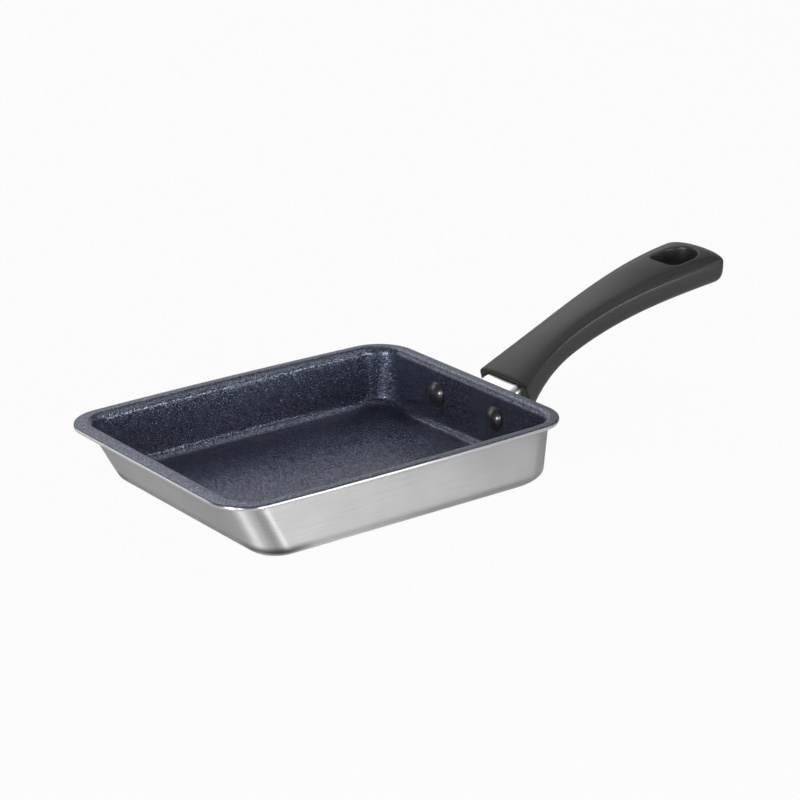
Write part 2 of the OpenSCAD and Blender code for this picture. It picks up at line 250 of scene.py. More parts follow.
# %% Build the sheet
EDGE = SHEET / 2
LIP_TOP = RIM_HEIGHT - FILM
SHRINK = [0.15, 0.4, 0.7, 0.9]
EDGE_STEPS, FILM_STEPS = 13, 6


def edge_rings(radius, start, end, steps):
    """Rings on a circle about the middle of the lip's edge. The angle a, in degrees, is 0 above and
    180 below: inset = EDGE - radius * sin a, z = LIP_TOP - EDGE + radius * cos a."""
    a = np.radians(np.linspace(start, end, steps))
    return lip_rings(EDGE - radius * np.sin(a), LIP_TOP - EDGE + radius * np.cos(a))


outside = wall_rings(0.0)
inside = wall_rings(SHEET)
pan_skin = np.concatenate([base_rings(outside[0], SHRINK), outside,
                           edge_rings(EDGE, 180, 0, EDGE_STEPS), inside[::-1],
                           base_rings(inside[0], SHRINK)[::-1]])
pan = smooth(ring_solid("pan_sheet", pan_skin))
report(pan)

# %% [markdown]
# ## The dark film
#
# The film is sprayed on before the edge is polished, so it covers the inside, runs over the top
# of the lip and ends where the half round turns down. A Solidify modifier on the sheet would also
# thicken the outside, so the film is its own closed shell: the sheet's inside again, and the same
# surface 0.15 mm further in.

# %% Build the film
FILM_END = 48  # degrees down the half round
film_inside = wall_rings(SHEET + FILM)
film_skin = np.concatenate([base_rings(inside[0], SHRINK), inside,
                            edge_rings(EDGE, 0, FILM_END, FILM_STEPS),
                            edge_rings(EDGE + FILM, FILM_END, 0, FILM_STEPS), film_inside[::-1],
                            base_rings(film_inside[0], SHRINK)[::-1]])
film = smooth(ring_solid("nonstick_film", film_skin))
report(film)

# %% [markdown]
# ## Rivets
#
# Each rivet is turned round its own axis: a flat dome on a thin brim, a shank, and a low dome on
# the bracket's plate. A surface of revolution says this in one profile. The axis leans with the
# handle wall, so the finished points are turned and moved before they go into the mesh, and the
# object itself stays at the origin.

# %% Sizes and profile of a rivet
RIVET_Y, RIVET_Z = 20.0, 16.1
HEAD_D, HEAD_H, BRIM_T, BRIM_W = 10.8, 2.6, 0.6, 0.5
BRIM_ROUND, BRIM_DROP, HAIR = 0.22, 0.05, 0.02
TAIL_D, TAIL_H, SHANK_D, PLATE_T = 8.6, 1.8, 5.0, 1.6
HEAD_STEPS, TAIL_STEPS = 14, 10
LEAN = WALLS["handle"][1]
RIVET_X = RIM_X + RIM_LENGTH / 2 - float(inset("handle", 0.0, np.array([RIVET_Z]))[0])
print(f"rivets on the wall at x {RIVET_X:.2f} mm")


def dome(radius, height, steps):
    """Half section of a cap of a ball, from its foot to its middle. The ball's radius is
    (r * r + h * h) / (2 * h)."""
    ball = (radius ** 2 + height ** 2) / (2 * height)
    a = np.linspace(math.asin(radius / ball), 0, steps)
    return np.stack([ball * np.sin(a), ball * np.cos(a) - (ball - height)], -1)


def fillet(points, radius, steps=5):
    """Rounds every inner corner of an open polyline with an arc-like curve:
    p(t) = (1 - t)^2 * a + 2 * t * (1 - t) * corner + t^2 * b, where a and b lie radius away from
    the corner."""
    points = np.asarray(points, float)
    done = [points[:1]]
    t = np.linspace(0, 1, steps)[:, None]
    for before, corner, after in zip(points[:-2], points[1:-1], points[2:]):
        back, on = before - corner, after - corner
        a = corner + back * min(0.5, radius / np.linalg.norm(back))
        b = corner + on * min(0.5, radius / np.linalg.norm(on))
        done.append((1 - t) ** 2 * a + 2 * t * (1 - t) * corner + t ** 2 * b)
    done.append(points[-1:])
    return np.concatenate(done)


def turned(profile, steps=72):
    """Rings of a surface of revolution: (r, h) becomes (r * cos a, r * sin a, h)."""
    a = np.linspace(0, 2 * math.pi, steps, endpoint=False)
    r, h = profile[:, :1], profile[:, 1:]
    return np.stack([r * np.cos(a), r * np.sin(a), np.broadcast_to(h, (len(h), steps))], -1)


# %% Build the rivets
head = dome(HEAD_D / 2 - BRIM_W, HEAD_H - BRIM_T, HEAD_STEPS)[::-1] + [0, BRIM_T]
head[0, 0] = HAIR
brim = [[HEAD_D / 2 - BRIM_W, BRIM_T], [HEAD_D / 2 - HAIR, BRIM_T - BRIM_DROP],
        [HEAD_D / 2, HAIR], [SHANK_D / 2, 0.0]]
head = np.concatenate([head[:-1], fillet(brim, BRIM_ROUND)])
tail = dome(TAIL_D / 2, TAIL_H, TAIL_STEPS)
tail[-1, 0] = HAIR
rivet_profile = np.concatenate([head * [1, -1] + [0, -SHEET - FILM],
                                [[SHANK_D / 2, PLATE_T]], tail + [0, PLATE_T]])


def on_wall(points, y):
    """From the wall's own frame, Z away from the pan, to the pan's: a turn about Y by 90 degrees
    and the lean."""
    s, c = math.sin(math.pi / 2 + LEAN), math.cos(math.pi / 2 + LEAN)
    x = points[..., 0] * c + points[..., 2] * s
    z = points[..., 2] * c - points[..., 0] * s
    return np.stack([RIVET_X + x, points[..., 1] + y, RIVET_Z + z], -1)


rivets = {}
for side, y in (("left", RIVET_Y), ("right", -RIVET_Y)):
    rivets[side] = ring_solid(f"rivet_{side}_black", on_wall(turned(rivet_profile), y))
    report(smooth(rivets[side], angle=50))

# %% [markdown]
# ## The bracket
#
# The bracket is one bent sheet: a plate on the outside of the handle wall, a channel-shaped neck
# that rises at 22 degrees, and a narrower tongue inside the grip. Its exact solid is already
# right apart from the hard edges of a model, so a copy of it is taken, faces that lie in one
# plane are joined, and a Bevel modifier breaks the edges by a quarter of a millimetre, as
# tumbling does to the real one.

# %% Break the bracket's edges
MERGE, FLAT, BREAK, BREAK_ANGLE = 0.01, 0.5, 0.25, 35


def copied(node, name):
    """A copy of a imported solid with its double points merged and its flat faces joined."""
    source = bpy.data.objects[node]
    mesh = source.data.copy()
    mesh.transform(source.matrix_world)
    piece = bpy.data.objects.new(name, mesh)
    scene.collection.objects.link(piece)
    mesh.materials.clear()
    weld = piece.modifiers.new("merge", "WELD")
    weld.merge_threshold = MERGE * MM
    flat = piece.modifiers.new("join flat faces", "DECIMATE")
    flat.decimate_type = "DISSOLVE"
    flat.angle_limit = math.radians(FLAT)
    return piece


def settle(piece):
    """Applies a piece's modifiers."""
    bpy.context.view_layer.update()
    state = bpy.context.evaluated_depsgraph_get()
    mesh = bpy.data.meshes.new_from_object(piece.evaluated_get(state))
    piece.modifiers.clear()
    piece.data = mesh
    mesh.name = piece.name
    return piece


bracket = copied("handle_bracket", "bracket_steel")
bevel = bracket.modifiers.new("broken edges", "BEVEL")
bevel.width = BREAK * MM
bevel.segments = 3
bevel.limit_method = "ANGLE"
bevel.angle_limit = math.radians(BREAK_ANGLE)
bevel.use_clamp_overlap = True
even = bracket.modifiers.new("flat faces stay flat", "WEIGHTED_NORMAL")
even.keep_sharp = True
bracket.data.polygons.foreach_set("use_smooth", np.ones(len(bracket.data.polygons), bool))
settle(bracket)
report(bracket)

# %% [markdown]
# ## The grip
#
# The grip is moulded. Its section is a rounded shape that is wide and shallow, and it changes
# along the grip: a waist behind the arched front, then wider towards the end. So the skin is
# again a grid: along the grip and round the section. The section's upper and lower halves follow
# the curves |x|^p + |z|^p = 1 with a power of their own. A shallow groove runs along each upper
# edge, so that the edge stands up as a ridge. It is a bell curve, taken off the upper half, that
# grows from the arched front to the middle of the grip and fades before its end.

# %% Sizes of the grip
GRIP_GAP, GRIP_LENGTH = 13.4, 118.6
GRIP_X = RIM_X + RIM_LENGTH / 2 + GRIP_GAP
FRONT_Z, REAR_Z = 26.4, 64.4
FRONT_RISE, REAR_RISE = math.radians(33), math.radians(5)
WIDTHS, DEPTHS, WAIST_X = (33.0, 22.2, 36.8), (20.8, 14.6, 14.6), 33.5
EDGE_H, FRONT_LEAN = 3.1, math.radians(14)
END_LENGTH, END_DROP, END_SHARE, END_POWER = 6.0, 1.5, 0.4, 0.6
TOP_POWER, UNDER_POWER = 2.2, 3.6
HOLE_LENGTH, HOLE_WIDTH, HOLE_CORNER, HOLE_FROM_REAR = 20.0, 18.0, 4.5, 6.6
GROOVE, GROOVE_AT, GROOVE_W = 0.5, 0.81, 0.085  # its depth, and its place and width as shares
GROOVE_START, GROOVE_FULL, GROOVE_STOP, GROOVE_FADE = 8.0, 60.0, 4.0, 14.0
SECTION_STEPS = 160


def ease(v):
    """0 to 1 with level ends: v * v * (3 - 2 * v)."""
    return v * v * (3 - 2 * v)


def top_line(x):
    """Height of the grip's middle line: an eased rise plus the slopes at its two ends."""
    u = x / GRIP_LENGTH
    slopes = math.tan(FRONT_RISE) * (1 - u) - math.tan(REAR_RISE) * u
    return FRONT_Z * (1 - ease(u)) + REAR_Z * ease(u) + GRIP_LENGTH * u * (1 - u) * slopes


def waisted(x, sizes):
    """A size along the grip: it falls to its waist as a parabola and grows again, eased."""
    front, waist, rear = sizes
    ahead = waist + (front - waist) * np.clip(1 - x / WAIST_X, 0, None) ** 2
    behind = waist + (rear - waist) * ease(np.clip((x - WAIST_X) / (GRIP_LENGTH - WAIST_X), 0, 1))
    return np.where(x < WAIST_X, ahead, behind)


def grip_sections(x, wide, deep):
    """Rings round the grip at distances x, their width and depth multiplied by wide and deep. Round
    a half section, across = |cos a| ^ (2 / p) and up = |sin a| ^ (2 / p); the groove takes
    GROOVE * exp(-((across - GROOVE_AT) / GROOVE_W) ^ 2) off the upper half."""
    a = np.linspace(0, 2 * math.pi, SECTION_STEPS, endpoint=False)[None, :]
    x, wide, deep = (np.atleast_1d(v)[:, None] for v in np.broadcast_arrays(x, wide, deep))
    half, depth = wide * waisted(x, WIDTHS) / 2, waisted(x, DEPTHS)
    level = top_line(x) - EDGE_H - (1 - deep) * END_DROP / (1 - END_SHARE)
    low = np.sin(a) < -1e-9
    power = np.where(low, UNDER_POWER, TOP_POWER)
    reach = deep * np.where(low, depth - EDGE_H, EDGE_H)
    drop = reach * np.sign(np.sin(a)) * np.abs(np.sin(a)) ** (2 / power)
    share = np.abs(np.cos(a)) ** (2 / power)
    grown = ease(np.clip((x - GROOVE_START) / (GROOVE_FULL - GROOVE_START), 0, 1))
    grown = grown * ease(np.clip((GRIP_LENGTH - GROOVE_STOP - x) / GROOVE_FADE, 0, 1))
    groove = GROOVE * deep * grown * np.exp(-((share - GROOVE_AT) / GROOVE_W) ** 2)
    drop = drop - np.where(low, 0, groove)
    lean = math.tan(FRONT_LEAN) * np.clip(1 - x / WAIST_X, 0, None) ** 2
    across = half * np.sign(np.cos(a)) * share
    return np.stack([GRIP_X + x + lean * (EDGE_H - drop), across, level + drop], -1)


# %% Build the grip's skin
FRONT_PART, FRONT_STEPS, BODY_STEPS = 12, 25, 130
END_ANGLE, END_RINGS = 86, 22
body = GRIP_LENGTH - END_LENGTH
along = np.concatenate([np.linspace(0, FRONT_PART, FRONT_STEPS),
                        np.linspace(FRONT_PART, body, BODY_STEPS)[1:]])
turn_in = np.radians(np.linspace(0, END_ANGLE, END_RINGS)[1:])
shrink = np.cos(turn_in) ** END_POWER
grip_skin = np.concatenate([
    grip_sections(along, 1.0, 1.0),
    grip_sections(body + END_LENGTH * np.sin(turn_in), shrink,
                  END_SHARE + (1 - END_SHARE) * shrink)])
grip = ring_solid("grip_body", grip_skin)
report(grip)

# %% [markdown]
# ## Cutting and rounding the grip
#
# The socket for the neck, the screw's recess and the hanging hole go through the skin. Booleans
# cut them exactly but leave knife edges, and a moulded grip has none. So the cut body is rebuilt
# on a fine regular grid with a Remesh modifier and smoothed a little, which rounds every rim by
# about half a millimetre at once. A Bevel modifier would fail here, because the cuts cross the
# curved skin in long, thin faces.

# %% Cutters
NECK_Z, NECK_RISE = 23.9, math.radians(22)
NECK_W, NECK_D, NECK_IN, NECK_R = 23.6, 7.0, 4.0, 3.0
TONGUE_W, TONGUE_D, TONGUE_IN = 14.0, 5.2, 24.0
CLEAR, SEAT_T, SCREW_X, SCREW_D, WASHER_D, SCREW_CLEAR = 0.3, 2.0, 10.0, 4.0, 8.6, 0.2
HOLE_BELOW, HOLE_ABOVE, PAST_SEAT = 30.0, 75.0, 0.5


def prism(outline, start, end, axis=0):
    """A prism: an outline of flat coordinates, repeated at two distances along one axis."""
    return np.stack([np.insert(outline, axis, d, axis=1) for d in (start, end)])


def arc(centre, radius, start, end, steps=8):
    """Points on a circle: centre + radius * (cos a, sin a), with a in degrees."""
    a = np.radians(np.linspace(start, end, steps + 1))
    return np.stack([centre[0] + radius * np.cos(a), centre[1] + radius * np.sin(a)], -1)


def channel_outline(width, depth, radius):
    """Seen along the neck: flat below, rounded at both upper corners, its top at height 0."""
    y = width / 2
    return np.concatenate([[[y, -depth]], arc((y - radius, -radius), radius, 0, 90),
                           arc((radius - y, -radius), radius, 90, 180), [[-y, -depth]]])


def at_neck(points, up=0.0):
    """From the neck's frame, X up along the neck, to the pan's: a turn about Y by its rise."""
    c, s = math.cos(NECK_RISE), math.sin(NECK_RISE)
    x, y, z = points[..., 0], points[..., 1], points[..., 2] + up
    return np.stack([GRIP_X + x * c - z * s, y, NECK_Z + x * s + z * c], -1)


def round_hole(diameter, low, high):
    """A round prism along the screw's axis, between two heights in the neck's frame."""
    ring = arc((0, 0), diameter / 2, 0, 360, 48)[:-1]
    return prism(ring, low, high, axis=2) + [SCREW_X, 0, 0]


def socket(width, depth, start, end):
    """The room for a stretch of the bracket: its outline grown by the clearance all round."""
    outline = channel_outline(width + 2 * CLEAR, depth + 2 * CLEAR, NECK_R + CLEAR)
    return at_neck(prism(outline, start, end + CLEAR), CLEAR)


seat_z = -TONGUE_D - CLEAR - SEAT_T
hole_x = GRIP_X + GRIP_LENGTH - HOLE_FROM_REAR - HOLE_WIDTH / 2
corner_x = HOLE_CORNER - (HOLE_LENGTH - HOLE_WIDTH / 2)
corner_y = HOLE_WIDTH / 2 - HOLE_CORNER
hole_ring = np.concatenate([
    arc((0, 0), HOLE_WIDTH / 2, -90, 90, 40),
    arc((corner_x, corner_y), HOLE_CORNER, 90, 180, 12),
    arc((corner_x, -corner_y), HOLE_CORNER, 180, 270, 12)]) + [hole_x, 0]
cutter_rings = {
    "neck": socket(NECK_W, NECK_D, -NECK_D, NECK_IN),
    "tongue": socket(TONGUE_W, TONGUE_D, 0, TONGUE_IN),
    "screw": at_neck(round_hole(SCREW_D + 4 * SCREW_CLEAR, seat_z - PAST_SEAT,
                                seat_z + SEAT_T + PAST_SEAT)),
    "recess": at_neck(round_hole(WASHER_D + 2 * SCREW_CLEAR, seat_z - DEPTHS[0], seat_z)),
    "hanging": prism(hole_ring, HOLE_BELOW, HOLE_ABOVE, axis=2),
}
print("hanging hole at x", round(hole_x, 2), "mm; seat", seat_z, "mm under the neck's top")

# %% Cut, rebuild and smooth
GRID, SMOOTHINGS = 0.42, 6
cutters = [ring_solid(f"cut_{name}", rings) for name, rings in cutter_rings.items()]
for cutter in cutters:
    cut = grip.modifiers.new(cutter.name, "BOOLEAN")
    cut.operation = "DIFFERENCE"
    cut.solver = "EXACT"
    cut.object = cutter
rebuilt = grip.modifiers.new("fine grid", "REMESH")
rebuilt.mode = "VOXEL"
rebuilt.voxel_size = GRID * MM
soft = grip.modifiers.new("rounded rims", "CORRECTIVE_SMOOTH")
soft.iterations = SMOOTHINGS
soft.use_only_smooth = True
settle(grip)
for cutter in cutters:
    bpy.data.objects.remove(cutter)
smooth(grip, angle=60)
report(grip)

# %% [markdown]
# ## A short way to write shader maths
#
# A finish is a small sum: a colour plus some grain times a strength. Laying that out as loose
# nodes hides the sum. So one class wraps a socket and answers to +, - and *, also with a plain
# number on the left, and its one method node() adds any other node.

# %% The class
class Wire:
    """An output socket of a material's nodes, with arithmetic."""

    def __init__(self, tree, socket=None):
        self.tree, self.socket = tree, socket

    def node(self, kind, settings, values, output=0):
        """Adds a node: its type, its settings, then its sockets' values or wires. Gives back one of
        its outputs."""
        made = self.tree.nodes.new(kind)
        for name, value in settings.items():
            setattr(made, name, value)
        for name, value in values.items():
            self.plug(made.inputs[name], value)
        return Wire(self.tree, made.outputs[output])

    def plug(self, socket, value):
        """Links a wire to a socket, or writes a plain value into it."""
        if isinstance(value, Wire):
            self.tree.links.new(value.socket, socket)
        else:
            socket.default_value = value

    def maths(self, operation, *values):
        """A Math node with all of its inputs, this wire among them."""
        return self.node("ShaderNodeMath", {"operation": operation}, dict(enumerate(values)))

    def __add__(self, other):
        return self.maths("ADD", self, other)

    def __sub__(self, other):
        return self.maths("SUBTRACT", self, other)

    def __mul__(self, other):
        return self.maths("MULTIPLY", self, other)

    def __radd__(self, other):
        return self.maths("ADD", other, self)

    def __rsub__(self, other):
        return self.maths("SUBTRACT", other, self)

    def __rmul__(self, other):
        return self.maths("MULTIPLY", other, self)

    def step(self, low, high):
        """0 below low, 1 above high, and a smooth rise between them."""
        return self.node("ShaderNodeMapRange", {"interpolation_type": "SMOOTHSTEP"},
                         {"Value": self, "From Min": low, "From Max": high})

    def between(self, low, high):
        """low + this value * (high - low), so that 0 to 1 becomes low to high."""
        return low + self * (high - low)

    def mix(self, first, second):
        """From the first colour to the second as this value goes from 0 to 1."""
        return self.node("ShaderNodeMix", {"data_type": "RGBA"}, {0: self, 6: first, 7: second}, 2)

    def stretched(self, x, y, z):
        """This vector multiplied by one factor for each axis."""
        return self.vector("MULTIPLY", (x, y, z))

    def vector(self, operation, *values, output="Vector"):
        """Vector maths on this vector and others."""
        return self.node("ShaderNodeVectorMath", {"operation": operation},
                         dict(enumerate((self, *values))), output)

    def noise(self, scale, detail=2.0, roughness=0.5):
        """Soft noise, 0 to 1, over this vector."""
        return self.node("ShaderNodeTexNoise", {}, {"Vector": self, "Scale": scale,
                                                    "Detail": detail, "Roughness": roughness})

    def cells(self, scale, output):
        """Voronoi cells over this vector: each cell's own Color, or the Position of its middle."""
        return self.node("ShaderNodeTexVoronoi", {}, {"Vector": self, "Scale": scale}, output)

    def bump(self, strength, distance, under=None):
        """A bump from this height. distance is in metres."""
        values = {"Height": self, "Strength": strength, "Distance": distance}
        if under is not None:
            values["Normal"] = under
        return self.node("ShaderNodeBump", {}, values)

    def part(self, name):
        """One part of this vector or colour: X, Y or Z."""
        return self.node("ShaderNodeSeparateXYZ", {}, {"Vector": self}, name)


def new_finish(name, **constants):
    """A material with one Principled shader and constants on its sockets. Gives back the material,
    the shader and the object coordinates."""
    material = bpy.data.materials.new(name)
    material.use_nodes = True
    tree = material.node_tree
    shader = tree.nodes["Principled BSDF"]
    for key, value in constants.items():
        shader.inputs[key.replace("_", " ")].default_value = value
    return material, shader, Wire(tree).node("ShaderNodeTexCoord", {}, {}, "Object")


def dress(piece, material):
    """Gives a piece one material."""
    piece.data.materials.clear()
    piece.data.materials.append(material)


# %% [markdown]
# ## Satin aluminium
#
# The outside is rubbed with fine abrasive that travels round the pan, so its lines lie level on
# the walls. Lines that lie level spread a reflection up and down, and the shader's anisotropy
# does the same to its shine. The lines could come from a picture of brushed metal, but that would
# need a seam somewhere. Noise stretched along X and Y has none: it changes fast in height and
# slowly round the pan. On the flat base the same rubbing runs lengthwise.

# %% Rubbed lines
LINE_DETAIL, LINE_ROUGHNESS = 3.0, 0.65
ROUND_THE_PAN, ACROSS_THE_LINES, ALONG_THE_BASE = 40, 5200, 60
BASE_HEIGHTS = (0.0006, 0.0035)
satin, shader, place = new_finish("satin_aluminium", Metallic=1.0, Anisotropic=0.86,
                                  Anisotropic_Rotation=0.25)
level = place.stretched(ROUND_THE_PAN, ROUND_THE_PAN, ACROSS_THE_LINES)
level = level.noise(1.0, LINE_DETAIL, LINE_ROUGHNESS)
lengthwise = place.stretched(ALONG_THE_BASE, ACROSS_THE_LINES, ALONG_THE_BASE)
lengthwise = lengthwise.noise(1.0, LINE_DETAIL, LINE_ROUGHNESS)
height = place.part("Z")
underneath = 1 - height.step(*BASE_HEIGHTS)
lines = level + underneath * (lengthwise - level)
patches = place.noise(45.0, 3.0)

# %% [markdown]
# Two zones differ from the walls. The half round of the lip is polished bright. The foot curve
# gets painted shade, a darker colour, most of all at the two far corners; it stands in for the
# shadowed floor that the foot mirrors where the pan stands. Each zone is a smooth step in height,
# in metres. A vertex group could mark them too, but would need a finer mesh.

# %% Zones of the metal
EDGE_HEIGHTS, FOOT_HEIGHTS = (0.0259, 0.0265), (0.0034, 0.0070)
FAR_X, FAR_Y = (0.046, 0.062), (0.038, 0.054)
# Painted shade on the foot curve: its share all round, and its full strength at the two far
# corners.
SHADE_ALL_ROUND = 0.25
polished_edge = height.step(*EDGE_HEIGHTS)
far_end = (place.part("X") * -1).step(*FAR_X)
aside = place.part("Y")
far_corner = aside.maths("ABSOLUTE", aside).step(*FAR_Y) * far_end
# Painted shade: the foot curve darkens towards the base, most at the two far corners.
foot_painted_shade = (1 - height.step(*FOOT_HEIGHTS)) * (SHADE_ALL_ROUND + (1 - SHADE_ALL_ROUND) * far_corner)

# %% Colour, roughness and relief of the metal
DARK_LINE, LIGHT_LINE = (0.54, 0.54, 0.545, 1), (0.69, 0.69, 0.695, 1)
# The second colour on the next line is the painted shade of the foot curve; the last one is the
# polished lip edge.
FOOT_SHADE, POLISHED = (0.13, 0.13, 0.132, 1), (0.82, 0.82, 0.82, 1)
LINE_SHARE, PATCH_SHARE = 0.6, 0.4
rubbed = (lines * LINE_SHARE + patches * PATCH_SHARE).step(0.25, 0.75)
rubbed = rubbed.mix(DARK_LINE, LIGHT_LINE)
# Painted shade on the foot curve, not on the flat base.
rubbed = (foot_painted_shade * (1 - underneath)).mix(rubbed, FOOT_SHADE)
place.plug(shader.inputs["Base Color"], polished_edge.mix(rubbed, POLISHED))
place.plug(shader.inputs["Roughness"],
           0.42 + lines * 0.08 + patches * 0.04 - polished_edge * 0.18)
place.plug(shader.inputs["Normal"], (lines * (1 - polished_edge)).bump(0.35, 0.00008))
dress(pan, satin)
print(satin.name, "on", pan.name)

# %% [markdown]
# ## The dark film with its flakes
#
# The film is blue-black and carries fine metal flakes that glitter. Every flake lies a little
# differently, so each one shines for its own direction. A pattern of small Voronoi cells does the
# same: each cell gets a tilt of its own, drawn from the cell's random colour, and the slope
# (place - middle of the cell) . tilt goes into a bump. One cell in six stands up more than the
# rest. A longer, soft noise adds the sprayed film's orange-peel, and a clear coat on top its even
# shine.

# %% Flakes
FLAKES = 3900.0  # cells in a metre
TILT, STEEP_TILT = 0.21, 0.4
nonstick, shader, place = new_finish("nonstick_film", Coat_Roughness=0.24, Coat_IOR=1.55,
                                     Specular_Tint=(0.6, 0.6, 0.7, 1))
colour = place.cells(FLAKES, "Color")
tilt = colour.vector("SUBTRACT", (0.5, 0.5, 0.5))
from_middle = place.vector("SUBTRACT", place.cells(FLAKES, "Position"))
slope = from_middle.vector("DOT_PRODUCT", tilt, output="Value")
steep = colour.part("Z").step(0.80, 0.88)
bright = colour.part("X").step(0.4, 1.0)

# %% Dark film
BLACK, BLUE_BLACK = (0.019, 0.019, 0.029, 1), (0.024, 0.023, 0.034, 1)
FLAKE_BLUE = (0.26, 0.305, 0.435, 1)
tint = place.noise(24.0, 2.0)
peel = place.noise(520.0, 2.0).bump(0.2, 0.00012)
ground = tint.mix(BLACK, BLUE_BLACK)
place.plug(shader.inputs["Base Color"], bright.mix(ground, FLAKE_BLUE))
place.plug(shader.inputs["Metallic"], bright.between(0.55, 0.90))
place.plug(shader.inputs["Roughness"], tint.between(0.24, 0.29))
place.plug(shader.inputs["Coat Weight"], tint.between(0.50, 0.62))
place.plug(shader.inputs["Normal"], (slope * (TILT + steep * STEEP_TILT)).bump(1.0, 1.0, peel))
dress(film, nonstick)
print(nonstick.name, "on", film.name)

# %% [markdown]
# ## The rivets, the bracket and the grip
#
# The rivets carry a plain black film without flakes, half glossy. The bracket is polished
# stainless sheet with a light haze on it. The grip is a dark grey phenolic moulding with a fine,
# even grain that breaks its shine into a soft sheen. The screw, washers and nut are zinc plated.
# Noise at two or three scales gives each of them its grain. A picture of each surface could do it
# as well, but noise has no seams and stays sharp from close by.

# %% Rivets
SOOT, COAL = (0.012, 0.012, 0.014, 1), (0.030, 0.031, 0.034, 1)
SPOTS, SHINE_SPOTS, COAT_SPOTS, DIMPLES = 900.0, 500.0, 60.0, 1100.0  # in a metre
rivet_black, shader, place = new_finish("rivet_black", Coat_Roughness=0.12)
place.plug(shader.inputs["Base Color"], place.noise(SPOTS).mix(SOOT, COAL))
place.plug(shader.inputs["Roughness"], place.noise(SHINE_SPOTS).between(0.30, 0.42))
place.plug(shader.inputs["Coat Weight"], place.noise(COAT_SPOTS).between(0.75, 0.85))
place.plug(shader.inputs["Normal"], place.noise(DIMPLES, 3.0).bump(0.25, 0.0001))
for rivet in rivets.values():
    dress(rivet, rivet_black)
print(rivet_black.name, "on both rivets")

# %% Bracket
STEEL, BRIGHT_STEEL = (0.86, 0.86, 0.87, 1), (0.94, 0.94, 0.94, 1)
HAZE_LONG, HAZE_SHORT = 300, 4000
polished, shader, place = new_finish("polished_steel", Metallic=1.0)
haze = place.stretched(HAZE_LONG, HAZE_SHORT, HAZE_LONG).noise(1.0, 2.0)
place.plug(shader.inputs["Base Color"], haze.mix(STEEL, BRIGHT_STEEL))
place.plug(shader.inputs["Roughness"], haze.between(0.26, 0.34))
place.plug(shader.inputs["Normal"], haze.bump(0.08, 0.00005))
dress(bracket, polished)
print(polished.name, "on", bracket.name)

# %% Grip
DARK_GREY, GREY = (0.020, 0.020, 0.021, 1), (0.030, 0.030, 0.031, 1)
GRAIN, CLOUDS = 2600.0, 38.0  # in a metre
phenolic, shader, place = new_finish("grip_phenolic", Specular_IOR_Level=0.5)
grain = place.noise(GRAIN, 2.0, 0.6)
cloud = place.noise(CLOUDS, 2.0)
place.plug(shader.inputs["Base Color"], (grain * 0.5 + cloud * 0.5).mix(DARK_GREY, GREY))
place.plug(shader.inputs["Roughness"], 0.31 + grain * 0.08 + cloud * 0.04)
place.plug(shader.inputs["Normal"], grain.bump(0.30, 0.00008))
dress(grip, phenolic)
print(phenolic.name, "on", grip.name)

# %% Screw, washers and nut
ZINC, WORN_ZINC, WEAR = (0.52, 0.53, 0.54, 1), (0.68, 0.68, 0.66, 1), 700.0
plated, shader, place = new_finish("zinc_plated", Metallic=1.0)
wear = place.noise(WEAR, 3.0)
place.plug(shader.inputs["Base Color"], wear.mix(ZINC, WORN_ZINC))
place.plug(shader.inputs["Roughness"], wear.between(0.26, 0.40))
place.plug(shader.inputs["Normal"], wear.bump(0.15, 0.00006))
for node in ("handle_screw", "spring_washer", "flat_washer", "weld_nut"):
    dress(bpy.data.objects[node], plated)
print("finishes:", [m.name for m in bpy.data.materials])

# %% [markdown]
# ## Telling the frame what replaces what
#
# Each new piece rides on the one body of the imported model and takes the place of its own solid.
# The screw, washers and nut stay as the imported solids.

# %% Ride and replace
replaced = [(pan, "pan_body", "satin_aluminium"), (film, "nonstick_coating", "nonstick"),
            (bracket, "handle_bracket", "polished_steel"),
            (rivets["left"], "rivet_left", "coated_rivet"),
            (rivets["right"], "rivet_right", "coated_rivet"),
            (grip, "handle_grip", "grip_plastic")]
for piece, node, slot in replaced:
    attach(piece, "root")
    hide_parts(node)
print("replaced:", [node for _, node, _ in replaced])

# %% [markdown]
# ## The floor
#
# The photograph has a white ground and no shadow to speak of. A matt white floor comes close; a
# share of plain white, for what the camera sees straight on, takes the rest of the grey away and
# still leaves a faint contact shadow. More light would do it too, but would wash out the pan.
# Mirrors and glass see only a trace of that white.

# %% Floor
FLOOR_HALF, FLOOR_DROP = 5.0, 0.00005
FOR_CAMERA, FOR_MIRRORS = 0.94, 0.05
floor_mesh = bpy.data.meshes.new("floor")
floor_mesh.from_pydata([(FLOOR_HALF * x, FLOOR_HALF * y, 0)
                        for x, y in ((-1, -1), (1, -1), (1, 1), (-1, 1))], [], [(0, 1, 2, 3)])
floor = bpy.data.objects.new("floor", floor_mesh)
scene.collection.objects.link(floor)
floor.location.z = -FLOOR_DROP


def white_share(tree, for_camera):
    """How much plain white a ray sees, by its kind: camera, mirror (glossy) or glass."""
    seen, mirrored, through = (Wire(tree).node("ShaderNodeLightPath", {}, {}, f"Is {kind} Ray")
                               for kind in ("Camera", "Glossy", "Transmission"))
    return seen * for_camera + mirrored * FOR_MIRRORS + through * FOR_MIRRORS


paper = bpy.data.materials.new("white_paper")
paper.use_nodes = True
tree = paper.node_tree
matt = tree.nodes["Principled BSDF"]
matt.inputs["Base Color"].default_value = (0.92, 0.92, 0.92, 1)
matt.inputs["Roughness"].default_value = 0.9
matt.inputs["Specular IOR Level"].default_value = 0.0
share = white_share(tree, FOR_CAMERA)
white = Wire(tree).node("ShaderNodeEmission", {}, {"Color": (1, 1, 1, 1), "Strength": 1.0})
both = share.node("ShaderNodeMixShader", {}, {0: share, 1: Wire(tree, matt.outputs[0]), 2: white})
both.plug(tree.nodes["Material Output"].inputs["Surface"], both)
dress(floor, paper)
print("floor", 2 * FLOOR_HALF, "m wide")
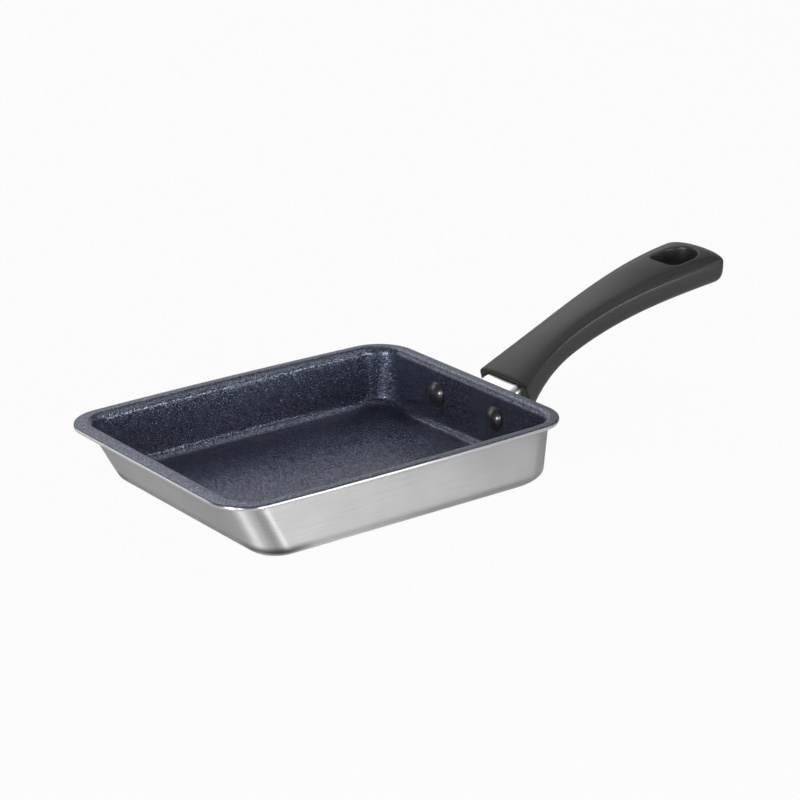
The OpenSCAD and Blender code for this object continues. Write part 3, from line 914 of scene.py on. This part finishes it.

# %% [markdown]
# ## The room and its lamps
#
# The photograph's metal shows separate light and dark bands, so it stood between single soft
# boxes in a dark room and not under an even sky. The room is white for the camera and nearly dark
# for everything else. A large key lamp lights the film and the grip's top. A backdrop, a sky
# panel and an overhead panel behind the pan give the lip and the inside their sheen. Low, narrow
# strips in front and at the left draw the bands on the satin walls. Their powers were trimmed
# until the whole came close to the photograph.

# %% Room
DARK_ROOM = 0.02
world = bpy.data.worlds.new("pale_room")
scene.world = world
world.use_nodes = True
tree = world.node_tree
background = tree.nodes["Background"]
background.inputs["Color"].default_value = (1, 1, 1, 1)
level = DARK_ROOM + white_share(tree, 1 - DARK_ROOM)
level.plug(background.inputs["Strength"], level)
print("room:", DARK_ROOM, "of full white, apart from what the camera sees")

# %% Lamps
LAMPS = {  # azimuth, elevation, distance, width and height, power in watts
    "key": (335, 45, 1.6, (1.3, 1.3), 5.5),
    "overhead_back": (60, 78, 1.6, (1.0, 1.0), 1.7),
    "backdrop": (62, 16, 3.0, (3.6, 1.7), 10.5),
    "sky_back": (77, 42, 2.0, (1.2, 1.0), 5.8),
    "front_wide": (286, 10, 1.2, (0.25, 0.4), 1.2),
    "front_low": (298, 8, 1.2, (0.2, 0.36), 1.8),
    "strip_front": (270, 8, 1.3, (0.26, 0.36), 6.2),
    "strip_corner": (220, 9, 1.3, (0.16, 0.40), 1.9),
    "strip_left": (198, 9, 1.3, (0.28, 0.44), 9.6),
    "back_left": (120, 22, 1.6, (0.9, 0.8), 3.0),
}


def soft_lamp(name, azimuth, elevation, distance, size, power):
    """A rectangular lamp that looks at the pan. Angles are in degrees and lengths in metres."""
    data = bpy.data.lights.new(name, "AREA")
    data.shape = "RECTANGLE"
    data.size, data.size_y = size
    data.energy = power
    lamp = bpy.data.objects.new(name, data)
    a, e = math.radians(azimuth), math.radians(elevation)
    towards = Vector((math.cos(a) * math.cos(e), math.sin(a) * math.cos(e), math.sin(e)))
    lamp.location = distance * towards
    lamp.rotation_euler = (-lamp.location).to_track_quat("-Z", "Y").to_euler()
    scene.collection.objects.link(lamp)


for name, values in LAMPS.items():
    soft_lamp(name, *values)
print("lamps:", list(LAMPS))

# %% [markdown]
# ## The camera
#
# The camera was fitted to the pan's outline in the photograph: how far it turns, how far it looks
# down, how far away it stands, which point it looks at in millimetres, and its focal length in
# pixels of the 800 pixel frame.

# %% Camera
FOCAL_PX, IMAGE_PX, SENSOR = 2618.2, 800, 36.0
yaw, pitch, distance = math.radians(52.67), math.radians(19.99), 1109.7
target = Vector((34.89, -3.06, 28.28))
forward = Vector((math.cos(yaw) * math.cos(pitch), math.sin(yaw) * math.cos(pitch),
                  -math.sin(pitch)))
camera_data = bpy.data.cameras.new("camera")
camera_data.sensor_width = SENSOR
camera_data.lens = FOCAL_PX / IMAGE_PX * SENSOR
camera_data.clip_end = 50.0  # metres, past the floor's end
camera = bpy.data.objects.new("camera", camera_data)
camera.location = (target - forward * distance) * MM
camera.rotation_euler = forward.to_track_quat("-Z", "Y").to_euler()
scene.collection.objects.link(camera)
scene.camera = camera
scene.view_settings.view_transform = "Standard"
print(f"lens {camera_data.lens:.1f} mm, camera at {[round(v, 3) for v in camera.location]} m")
